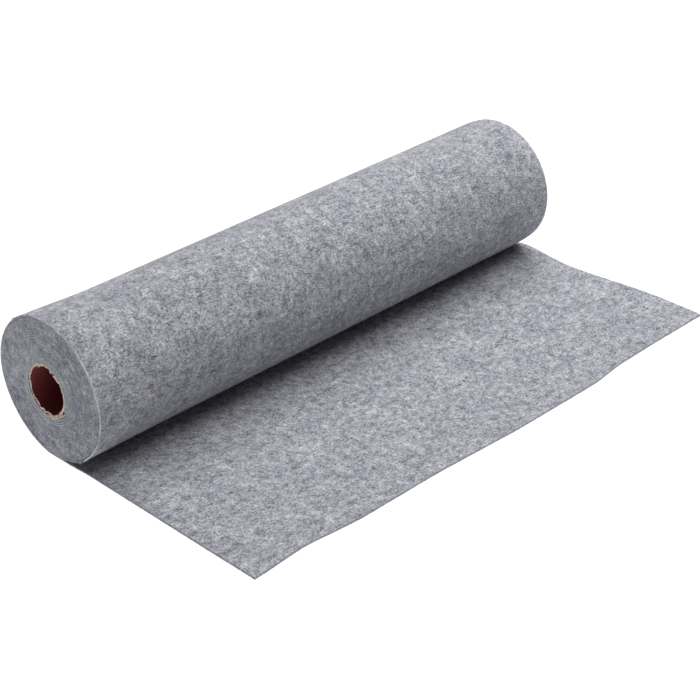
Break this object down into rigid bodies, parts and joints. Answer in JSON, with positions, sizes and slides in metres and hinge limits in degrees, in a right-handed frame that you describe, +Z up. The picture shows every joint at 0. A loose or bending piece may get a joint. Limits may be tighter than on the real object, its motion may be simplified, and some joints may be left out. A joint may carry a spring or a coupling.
{
  "type": "roll of felt on a paper tube",
  "caption": "Roll of mottled grey felt wound on a thin brown paper tube, lying down with its loose end drawn out in front.",
  "frame": {"origin": "the point of the floor under the roll's axis, at the middle of the felt's width", "axes": "+X along the roll, +Z up; the loose end lies on the floor towards -Y"},
  "size_m": [0.4512, 0.2556, 0.1054],
  "materials": {
    "grey_felt": "matt, short-haired, heathered light and dark grey",
    "brown_paper_tube": "matt spiral-wound paper, cut raw at the ends"
  },
  "bodies": {
    "root": {"felt": "grey_felt", "core_tube": "brown_paper_tube"}
  },
  "joints": []
}
